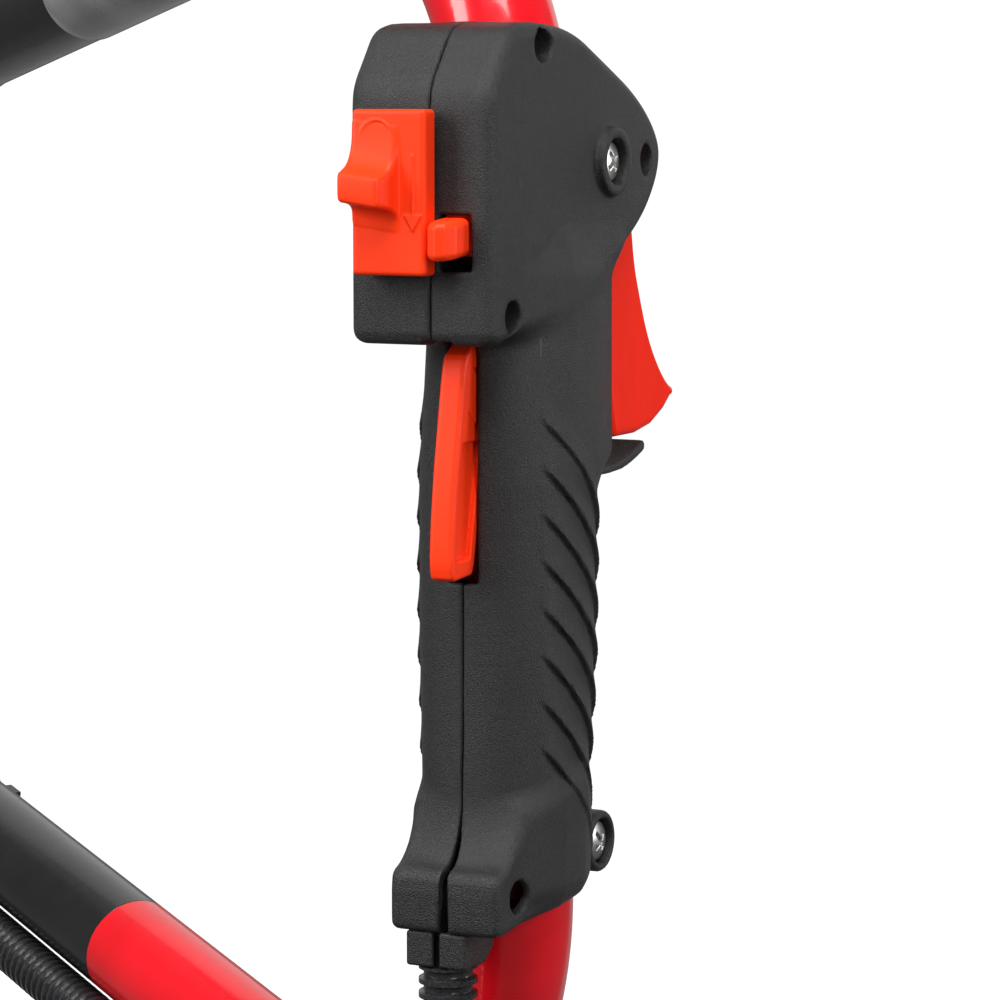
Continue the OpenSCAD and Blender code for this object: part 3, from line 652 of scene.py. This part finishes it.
LEVER_FRONT = soften([(-24.2, 32.6), (-26.6, 31.2), (-28.6, 20), (-30.8, 8), (-32, -2), (-32.5, -10),
                      (-31.9, -13)], 2)
LEVER_SIDE = np.vstack([[(-23.2, -13), (-22.3, -11), (-20, 0), (-15.9, 22), (-15.7, 36), (-16.4, 43),
                         (-18.4, 43), (-21, 35)], LEVER_FRONT, [(-30.6, -13.6)]])
LEVER_WEB = [(-25.5, 21), (-21, 17), (-19.4, 27), (-23.4, 29)]
LEVER_HALF = 2.65


def make_lockout():
    """The palm lever, with its sides pocketed and a fork at its hinge."""
    v = Volume((-4, -35, -16), (4, -13, 45), 0.25)
    side = outline(v.y, v.z, LEVER_SIDE)
    lever = both(side, slab(v.x, -LEVER_HALF, LEVER_HALF), 0.75)
    pocket = both(both(side + 2.3, slab(v.z, -9.5, 14)), slab(np.abs(v.x), 1.5, 4))
    lever = without(lever, pocket, 0.3)
    step = both(both(side + 3.6, slab(v.z, 14, 29)), slab(np.abs(v.x), 2.2, 4))
    lever = without(lever, step, 0.2)
    web = both(outline(v.y, v.z, LEVER_WEB, 0.8), slab(v.x, -2.6, 2.6))
    lever = either(lever, both(web, side, 0.3))
    lever = without(lever, rod_x(v, -10, 10, 1.56, LOCKOUT_AT))
    lever = without(lever, rod_x(v, -1.7, 1.7, 3.4, LOCKOUT_AT))
    piece = v.mesh("lockout_palm_lever", lever)
    finish_piece(piece, ORANGE, "orange_plastic", "lockout_lever", "lockout_lever")


KNOB_UNDER = soften([(-39.7, 57.6), (-40.2, 60.4), (-42.2, 61.6), (-45.2, 62)], 2)
KNOB_FACE = soften([(-45.5, 62), (-46.2, 62.5), (-46.2, 67.4), (-45.6, 68)], 2)
KNOB_TOP = soften([(-45.4, 68.1), (-42.6, 69.4), (-41, 71.6), (-40.2, 74.6), (-39.7, 78)], 2)
KNOB_SIDE = np.vstack([[(-38, 58)], KNOB_UNDER, KNOB_FACE, KNOB_TOP, [(-38, 78)]])
SLIDER_PLATE = (-16, -39.7, 48), (0.6, -34.95, 80.9)
SLIDER_NECK = (-14, -35.5, 60), (-6, -31.2, 68.2)
SLIDER_FOOT = (-15.6, -31.5, 58), (-4.4, -29.8, 70)
RING_AT, RING_R = (-10.3, 75.2), 3.6
ARROW_X, ARROW_TIP, ARROW_BACK, ARROW_END = -2.1, 56.6, 60.2, 72
MARK_DEPTH = (-40.0, -39.3)


def slider_marks(v):
    """A raised ring and an arrow that points down."""
    ring = np.abs(np.hypot(v.x - RING_AT[0], v.z - RING_AT[1]) - RING_R) - 0.28
    shaft = both(slab(v.x, ARROW_X - 0.3, ARROW_X + 0.3), slab(v.z, 58, ARROW_END))
    flanks = np.abs(v.x - ARROW_X) - (v.z - ARROW_TIP) * 0.6
    head = both(flanks, slab(v.z, ARROW_TIP, ARROW_BACK))
    arrow = both(either(shaft, head), slab(v.y, *MARK_DEPTH), 0.1)
    return either(both(ring, slab(v.y, *MARK_DEPTH), 0.1), arrow)


def make_slider():
    """The stop plate, with its leaning thumb knob and the stem that runs in the head."""
    v = Volume((-18, -48, 46), (2.5, -28, 84), 0.25)
    plate = brick(v, *SLIDER_PLATE, 0.9)
    sheared = v.z + 0.14 * (v.x + 11)
    flank = v.x + 6.5 - 0.2 * np.clip(v.y + 46.2, 0, 7)
    knob = both(outline(v.y, sheared, KNOB_SIDE), flank, 1.0)
    knob = both(knob, -15.9 - v.x, 0.9)
    plate = either(plate, knob, 0.5)
    plate = either(plate, slider_marks(v), 0.15)
    stem = either(brick(v, *SLIDER_NECK), brick(v, *SLIDER_FOOT, 0.3))
    piece = v.mesh("stop_slider_plate", either(plate, stem))
    finish_piece(piece, ORANGE, "orange_plastic", "stop_slider", "stop_slider")


TAB_PLAN = [(0.9, -39), (2.1, -41.5), (4.1, -42.4), (6.1, -41.5), (7.2, -39), (7.2, -33), (0.9, -33)]
TAB_HEIGHT = (51.7, 59.5)
TAB_NECK = (2, -34, 52.6), (6.6, -31.2, 58.6)
TAB_FOOT = (0.8, -31.5, 51.8), (8.4, -29.8, 60.4)


def make_lock_tab():
    """The small tab beside the stop plate, with its own stem."""
    v = Volume((-0.5, -44, 47), (10, -28, 62), 0.2)
    drop = 0.1 * (v.y + 34.8)
    thumb = both(outline(v.x, v.y, TAB_PLAN, 0.8), slab(v.z - drop, *TAB_HEIGHT), 1.6)
    tab = either(thumb, brick(v, *TAB_NECK))
    tab = either(tab, brick(v, *TAB_FOOT, 0.3))
    piece = v.mesh("throttle_lock_tab", tab)
    finish_piece(piece, ORANGE, "orange_plastic", "throttle_lock", "throttle_lock")


make_trigger()
make_lockout()
make_slider()
make_lock_tab()


# ---- the tube loop ----
def leg_matrix(upper):
    """A leg's own frame: its Z runs from the corner to the leg's end."""
    corner = Vector((REACH, 0, DATUM + (UPPER_CORNER if upper else LOWER_CORNER))) * MM
    tilt = -math.pi / 2 - SLOPE if upper else SLOPE - math.pi / 2
    return Matrix.Translation(corner) @ Matrix.Rotation(tilt, 4, "Y")


def on_leg(upper, reach):
    return leg_matrix(upper) @ Matrix.Translation((0, 0, reach * MM))


def leg_point(upper, reach):
    return np.array(on_leg(upper, reach).translation) / MM


def bend_point(upper, angle):
    rise = BEND_UP + BEND_R * math.sin(angle) if upper else BEND_LOW - BEND_R * math.sin(angle)
    return np.array([REACH - BEND_R + BEND_R * math.cos(angle), 0, DATUM + rise])


def make_loop():
    arc = np.linspace(0, TURN, 49)
    path = [leg_point(False, t) for t in np.linspace(LOWER_SEAM, TANGENT + 1, 12)]
    path += [bend_point(False, angle) for angle in arc[::-1]]
    path += [np.array([REACH, 0, DATUM + z]) for z in np.linspace(BEND_LOW + 1, BEND_UP - 1, 20)]
    path += [bend_point(True, angle) for angle in arc]
    path += [leg_point(True, t) for t in np.linspace(TANGENT + 1, UPPER_SEAM, 6)]
    tube = sweep("red_loop", path, TUBE_R, 72)
    finish_piece(tube, RED, "red_paint", "handle", "loop_tube")


def cross_hole(upper, reach, turn=math.pi / 2):
    """A place on a leg whose Z runs across the loop's plane."""
    return on_leg(upper, reach) @ Matrix.Rotation(turn, 4, "X")


def rivet_place(upper):
    seam = UPPER_SEAM if upper else LOWER_SEAM
    return cross_hole(upper, seam + RIVET_AT, -math.pi / 2)


def bore_for_rivet(obj, upper, radius):
    bore(obj, rivet_place(upper) @ Matrix.Translation((0, 0, RIVET_SIDE * MM)), radius, 8)


def make_pipe(name, upper, end):
    seam = UPPER_SEAM if upper else LOWER_SEAM
    inner = TUBE_R - LEG_WALL
    profile = [(seam, TUBE_R - 1.4), (seam, TUBE_R - 0.3), (seam + 0.3, TUBE_R)]
    profile += [(z, TUBE_R) for z in np.linspace(seam + 8, end - 1, 20)]
    profile += [(end, TUBE_R - 0.3), (end, inner), (seam, inner)]
    leg = lathe(name + "_pipe", profile, leg_matrix(upper), 72, closed=True)
    bore(leg, cross_hole(upper, BOLT_AT), BUSH_R + 0.05, 40)
    bore_for_rivet(leg, upper, 2)
    finish_piece(leg, BLACK, "black_paint", "handle", name)


def make_bush(name, upper):
    half = TUBE_R + 0.6
    profile = [(-half, BUSH_BORE_R + 0.2), (-half, BUSH_R - 0.3), (0.3 - half, BUSH_R), (half - 0.3, BUSH_R),
               (half, BUSH_R - 0.3), (half, BUSH_BORE_R + 0.2), (half - 0.2, BUSH_BORE_R),
               (0.2 - half, BUSH_BORE_R)]
    bush = lathe(name + "_bush", profile, cross_hole(upper, BOLT_AT), 64, closed=True)
    finish_piece(bush, ZINC, "zinc_steel", "handle", "leg_bushes")


def make_rivet(name, upper):
    rim = TUBE_R + 0.3
    dome = [(TUBE_R - 1.5, 1.95), (TUBE_R - 0.05, 1.95), (TUBE_R - 0.05, 3.5), (rim, 3.6)]
    dome += [(rim + 1.1 * math.sin(a), 3.6 * math.cos(a)) for a in np.linspace(0.15, 1.5, 9)]
    rivet = lathe(name + "_rivet", dome, rivet_place(upper), 32)
    finish_piece(rivet, BLACK, "black_paint", "handle", "leg_rivets")


def make_end_plug(name, upper, end):
    cap = [(end - 7, TUBE_R - 3.2), (end - 7, TUBE_R - 1.7), (end, TUBE_R - 1.55), (end + 0.02, TUBE_R - 0.1),
           (end + 0.5, TUBE_R)]
    for a in np.linspace(0, 1.57, 8):
        cap.append((end + 1.3 + 1.2 * math.sin(a), TUBE_R - 1.2 + 1.2 * math.cos(a)))
    cap += [(end + 2.5, 8), (end + 2.1, 7.6), (end + 2.1, 0.1)]
    plug = lathe(name + "_end_plug", cap, leg_matrix(upper), 64)
    node = "upper_end_plug" if upper else "lower_end_plug"
    finish_piece(plug, SMOOTH_BLACK, "black_plastic", "handle", node)


def make_leg(upper):
    end = BOLT_AT + LEG_TAIL
    name = "upper_leg" if upper else "lower_leg"
    make_pipe(name, upper, end)
    make_bush(name, upper)
    make_rivet(name, upper)
    make_end_plug(name, upper, end)


def make_film_bands():
    for i, (start, end) in enumerate(FILM_BANDS):
        out, inner = TUBE_R + FILM_THICK, TUBE_R + 0.02
        profile = [(start, inner), (start, out - 0.1), (start + 0.2, out)]
        profile += [(z, out) for z in np.linspace(start + 3, end - 3, 8)]
        profile += [(end - 0.2, out), (end, out - 0.1), (end, inner)]
        band = lathe(f"film_band_{i + 1}", profile, leg_matrix(True), 72, closed=True)
        if i == 0:
            bore_for_rivet(band, True, 4)
        finish_piece(band, FILM, "clear_film", "handle", "leg_sleeve")


def make_collar():
    """A trim ring that lies on the head's sloping top, round the tube where it starts to bend."""
    turn = np.linspace(0, 2 * math.pi, 96, endpoint=False)
    rings = []
    for above, proud in COLLAR_SECTION:
        r = TUBE_R + proud
        aside = r * np.sin(turn) * GRIP_Y.y + (r * np.cos(turn) - COLLAR_LEAN) * GRIP_Y.x
        height = read_off(aside, HEAD_TOP) + above
        out = BEND_R + r * np.cos(turn)
        rise = height - BEND_UP
        x = REACH - BEND_R + np.sqrt(out**2 - rise**2)
        rings.append(np.stack([x, r * np.sin(turn), DATUM + height], 1))
    collar = rings_mesh("tube_collar", rings, closed=True)
    finish_piece(collar, SMOOTH_BLACK, "black_plastic", "handle", "top_collar")


make_loop()
make_leg(True)
make_leg(False)
make_film_bands()
make_collar()

# ---- conduit, cable and wires ----
CONDUIT_ROUTE = [(311, -23, 9.4), (311, -23, 4), (310.5, -22.8, -6), (307, -21.8, -20), (299, -19.2, -33),
                 (288, -17, -45), (273, -15, -55), (256, -13, -60.8), (238, -12, -62.2), (222, -11, -59.5),
                 (200, -11, -55), (160, -11, -47.2), (120, -11, -39.5), (80, -11, -31.7), (40, -11, -24),
                 (14, -11, -18.9)]
SHEATH_TOP = [(-11, -13.3, 44), (-11, -13.3, 0), (-11, -13.3, -20), (-8.6, -14.2, -36), (-6.4, -15.4, -50),
              (-5.4, -17, -60), (-5, -21.5, -69), (-4.5, -24.5, -73), (-4.1, -26.2, -77), (-4, -26.2, -80.5),
              (-3.9, -25.2, -85), (-3.9, -25, -89)]
WIRES_TOP = [(-9, -24, 52.4), (-8.8, -24, 51.4), (-7, -24.3, 50), (0, -23.5, 48.5), (4.6, -19.5, 48),
             (7.6, -15.9, 46.5), (10.2, -13.9, 44), (11, -13.4, 41), (11, -13.4, 0), (11, -13.4, -20),
             (8.6, -14.2, -36), (6.4, -15.4, -50), (5.2, -17.2, -60), (4, -22.2, -69), (2.8, -25, -73),
             (1.6, -26.5, -77), (0.5, -26.4, -80.5), (0.3, -25.2, -85), (0.4, -25, -89)]
SHEATH_BESIDE = (-1.9, -1.1)
WIRES_BESIDE = [(2.8, 0.2), (1.5, 2.4)]
SHEATH_END = np.array([-4, -12.1, -13.6])
WIRES_END = np.array([[-2, -9.6, -22.6], [-2, -8.6, -18.2]])
LEAD_IN = 7 * np.array([math.cos(SLOPE), 0, -math.sin(SLOPE)])
SHEATH_R, WIRE_R = 2.0, 0.95
WIRE_APART = 1.26
CORRUGATION = 3.0
CORRUGATION_STEP = 0.5
VALLEY_R, RIDGE_RISE = 5.05, 1.05
CONDUIT_BORE_R = 4.6
TURNED_IN = 24  # steps of the conduit's end that show its bore


def grip_points(points, aside=0.0):
    """Points of the grip's frame, moved along its X and given in the part's frame."""
    return [np.array(GRIP @ (Vector((x + aside, y, z)) * MM)) / MM for x, y, z in points]


def beside(route, u, w):
    """A route that runs u and w off another, across it."""
    route = np.asarray(route, float)
    a, b = sides_of(route)
    return route + u * a + w * b


def make_conduit():
    """A corrugated skin that turns back inside itself at its far end."""
    path = resample(catmull(CONDUIT_ROUTE, 40), CORRUGATION_STEP)
    along = np.arange(len(path)) * CORRUGATION_STEP
    wave = 0.5 + 0.5 * np.cos(2 * math.pi * along / CORRUGATION)
    radii = VALLEY_R + RIDGE_RISE * ease(wave, 0.15, 0.75)
    skin, a, b = (np.vstack([run, run[::-1][:TURNED_IN]]) for run in (path, *sides_of(path)))
    r = np.concatenate([radii, np.full(TURNED_IN, CONDUIT_BORE_R)])[:, None, None]
    turn = np.linspace(0, 2 * math.pi, 40, endpoint=False)[None, :, None]
    rings = skin[:, None] + r * (np.cos(turn) * a[:, None] + np.sin(turn) * b[:, None])
    conduit = rings_mesh("corrugated_conduit", rings)
    finish_piece(conduit, CONDUIT, "conduit_plastic", "handle", "conduit")


def cord_path(top, aside, end):
    """A cord's whole path: down the grip, through the conduit, and straight into its end fitting."""
    return catmull(top + list(beside(CONDUIT_ROUTE, *aside)) + [end + LEAD_IN, end], 8)


def make_cable():
    path = cord_path(grip_points(SHEATH_TOP), SHEATH_BESIDE, SHEATH_END)
    sheath = sweep("throttle_cable_sheath", path, SHEATH_R, 20)
    finish_piece(sheath, RUBBERY, "black_plastic", "handle", "cable_sheath")


def make_stop_wires():
    for i, apart in enumerate([WIRE_APART, -WIRE_APART]):
        path = cord_path(grip_points(WIRES_TOP, apart), WIRES_BESIDE[i], WIRES_END[i])
        wire = sweep(f"stop_wire_{i + 1}", path, WIRE_R, 14)
        finish_piece(wire, RUBBERY, "wire_insulation", "handle", "stop_wires")


make_conduit()
make_cable()
make_stop_wires()


# ---- screws ----
RECESS = 2.0
RECESS_ANGLES = (math.radians(38), math.radians(128))
THREAD_PITCH = 1.0
# the x that the head starts at, its radius and height, the shank's radius and the x of its tip
SHELL_SCREW = (6, 3, 2.2, 1.4, -11.5)
HEAD_SCREW = (13.2, 4.3, 2.6, 1.7, -12.5)
CLAMP_SCREW = (7.9, 4.4, 2.8, 2.4, -11)


def cross_recess(v, head, at, head_r, top):
    """A screw's head with a cross cut into it, which narrows towards its bottom."""
    dy, dz = v.y - at[0], v.z - at[1]
    depth = (v.x - (top - RECESS)) / RECESS
    for a in RECESS_ANGLES:
        long = dy * math.cos(a) + dz * math.sin(a)
        wide = -dy * math.sin(a) + dz * math.cos(a)
        reach = head_r * (0.22 + 0.4 * np.clip(depth, 0, 1))
        wing = both(np.abs(long) - reach, np.abs(wide) - 0.42 - 0.12 * depth)
        head = without(head, both(wing, top - RECESS - v.x), 0.1)
    return head


def pan_screw(name, at, head_x, head_r, head_h, shank_r, tip_x, node):
    """A pan head screw along the grip's X, with a cross recess and a thread."""
    top = head_x + head_h
    low = head_x - 0.4, at[0] - head_r - 0.5, at[1] - head_r - 0.5
    high = top + 0.4, at[0] + head_r + 0.5, at[1] + head_r + 0.5
    v = Volume(low, high, 0.1)
    out = np.hypot(v.y - at[0], v.z - at[1])
    dome_r = 2.2 * head_r
    dome = np.sqrt(out**2 + (v.x - head_x - head_h + dome_r) ** 2) - dome_r
    head = both(both(out - head_r, head_x - v.x), dome, 0.5)
    head = cross_recess(v, head, at, head_r, top)
    finish_piece(v.mesh(name + "_head", head), ZINC, "zinc_steel", "handle", node)
    shank = []
    for x in np.arange(tip_x, head_x, THREAD_PITCH):
        shank += [(x, shank_r * 0.82), (x + 0.3, shank_r), (x + 0.5, shank_r)]
    shank.append((head_x + 0.1, shank_r))
    middle = Matrix.Translation(Vector((0, at[0], at[1])) * MM)
    place = GRIP @ middle @ Matrix.Rotation(math.pi / 2, 4, "Y")
    finish_piece(lathe(name + "_shank", shank, place, 28), ZINC, "zinc_steel", "handle", node)


for number, screw_at in enumerate(SHELL_SCREWS_AT):
    pan_screw(f"shell_screw_{number + 1}", screw_at, *SHELL_SCREW, "shell_screws")
pan_screw("head_screw", HEAD_SCREW_AT, *HEAD_SCREW, "head_screw")
pan_screw("clamp_screw", CLAMP_AT, *CLAMP_SCREW, "clamp_screw")


# ---- gland ----
GLAND_SIDE = [(-31, -93), (-22, -93), (-18, -90), (-18, -85.7), (-31, -85.7)]
GLAND_ENDS = (-8.9, 4.9)
GLAND_NECK = (-8.6, -29.6, -86.5), (4.6, -18.2, -81)
GLAND_AT = (-2, -25)
GLAND_BORE_R = 4.9
GLAND_HALF_GAP = 0.75


def make_gland():
    """Two half clips, with a neck that sits in the grip's foot."""
    for side, name in [(-1, "gland_left"), (1, "gland_right")]:
        v = Volume((-11, -33, -95), (7, -16, -79), 0.25)
        body = both(outline(v.y, v.z, GLAND_SIDE, 0.6), slab(v.x, *GLAND_ENDS), 0.7)
        body = either(body, brick(v, *GLAND_NECK, 0.4))
        body = without(body, rod_z(v, -110, -70, GLAND_BORE_R, GLAND_AT), 0.3)
        body = both(body, GLAND_HALF_GAP - side * (v.x - GLAND_AT[0]), 0.3)
        finish_piece(v.mesh(name + "_clip", body), SHELL, "black_plastic", "handle", name)


make_gland()

# ---- CAD nodes that keep their shape ----
KEPT = {
    ZINC: ["joint_sleeves", "clamp_nut", "trigger_pin", "lockout_pin", "cable_stop", "cable_end",
           "wire_connectors"],
    SPRING: ["trigger_spring", "lockout_spring", "throttle_wire"],
    BRASS: ["stop_bridge", "contact_strips", "cable_nipple"],
    SMOOTH_BLACK: ["switch_base", "cable_ties"],
}
for finish, node_names in KEPT.items():
    for node_name in node_names:
        for kept_slot in frame["nodes"][node_name].material_slots:
            kept_slot.material = finish

# ---- studio ----
FOCAL = 3.85
SENSOR = 36.0
DISTANCE = 0.8
AXIS_SHIFT = 0.013
GRIP_AZIMUTH, ELEVATION = math.radians(27), math.radians(6)
LIGHTS = [  # name, azimuth, elevation, distance, size, power
    ("top_softbox", 50, 65, 1.2, (0.9, 0.6), 19),
    ("front_softbox", -16, 24, 1.3, (0.5, 1.0), 16),
    ("right_softbox", 82, 14, 1.3, (0.35, 0.8), 7),
    ("rear_strip", 152, 10, 1.1, (0.3, 0.6), 5),
    ("back_card_high", 237, 24, 1.6, (2.6, 1.2), 6),
    ("back_card_low", 237, -22, 1.5, (2.4, 0.8), 1),
]
AMBIENT = 0.15
WHITE = 1.05
FLOOR_HALF, FLOOR_Z = 6, -0.45


def direction(azimuth, elevation):
    """A unit vector at an azimuth, from -Y round towards +X, and an elevation."""
    level = math.cos(elevation)
    return Vector((math.sin(azimuth) * level, -math.cos(azimuth) * level, math.sin(elevation)))


def make_camera():
    azimuth = GRIP_AZIMUTH + math.atan2(GRIP_X.y, GRIP_X.x)
    back = direction(azimuth, ELEVATION)
    right = Vector((math.cos(azimuth), math.sin(azimuth), 0))
    target = GRIP_AT - right * (AXIS_SHIFT / FOCAL * DISTANCE)
    data = bpy.data.cameras.new("camera")
    data.sensor_width, data.lens = SENSOR, SENSOR * FOCAL
    data.clip_start, data.clip_end = 0.05, 50
    camera = bpy.data.objects.new("camera", data)
    camera.location = target + back * DISTANCE
    camera.rotation_euler = back.to_track_quat("Z", "Y").to_euler()
    bpy.context.scene.collection.objects.link(camera)
    bpy.context.scene.camera = camera


def soft_light(name, azimuth, elevation, away, size, power):
    """A soft light that faces the grip and isn't seen itself."""
    back = direction(math.radians(azimuth), math.radians(elevation))
    data = bpy.data.lights.new(name, "AREA")
    data.shape, data.size, data.size_y = "RECTANGLE", size[0], size[1]
    data.energy = power
    light = bpy.data.objects.new(name, data)
    light.visible_camera = False
    light.location = GRIP_AT + away * back
    light.rotation_euler = back.to_track_quat("Z", "Y").to_euler()
    bpy.context.scene.collection.objects.link(light)


def make_backdrop():
    """The camera sees a white sky, while the part is lit by a dim one."""
    world = bpy.data.worlds.new("studio")
    bpy.context.scene.world = world
    world.use_nodes = True
    nodes, links = world.node_tree.nodes, world.node_tree.links
    lit, seen = nodes["Background"], nodes.new("ShaderNodeBackground")
    for sky, strength in [(lit, AMBIENT), (seen, WHITE)]:
        sky.inputs["Color"].default_value = (1, 1, 1, 1)
        sky.inputs["Strength"].default_value = strength
    choose = nodes.new("ShaderNodeMixShader")
    ray = nodes.new("ShaderNodeLightPath")
    links.new(ray.outputs["Is Camera Ray"], choose.inputs[0])
    links.new(lit.outputs[0], choose.inputs[1])
    links.new(seen.outputs[0], choose.inputs[2])
    links.new(choose.outputs[0], nodes["World Output"].inputs["Surface"])


def make_floor():
    corners = [(x * FLOOR_HALF, y * FLOOR_HALF, FLOOR_Z) for x, y in [(-1, -1), (1, -1), (1, 1), (-1, 1)]]
    floor_mesh = bpy.data.meshes.new("floor")
    floor_mesh.from_pydata(corners, [], [(0, 1, 2, 3)])
    floor = bpy.data.objects.new("floor", floor_mesh)
    bpy.context.scene.collection.objects.link(floor)
    pale = material("pale_floor", (0.8, 0.8, 0.8), 0.6, Emission_Color=(1, 1, 1, 1), Emission_Strength=0.9)
    roughen(pale, add_noise(pale, 12, 3), 0.55, 0.7)
    floor_mesh.materials.append(pale)
    floor.visible_diffuse = False
    floor.visible_glossy = False


bpy.context.scene.view_settings.view_transform = "Standard"
make_camera()
make_backdrop()
make_floor()
for light in LIGHTS:
    soft_light(*light)
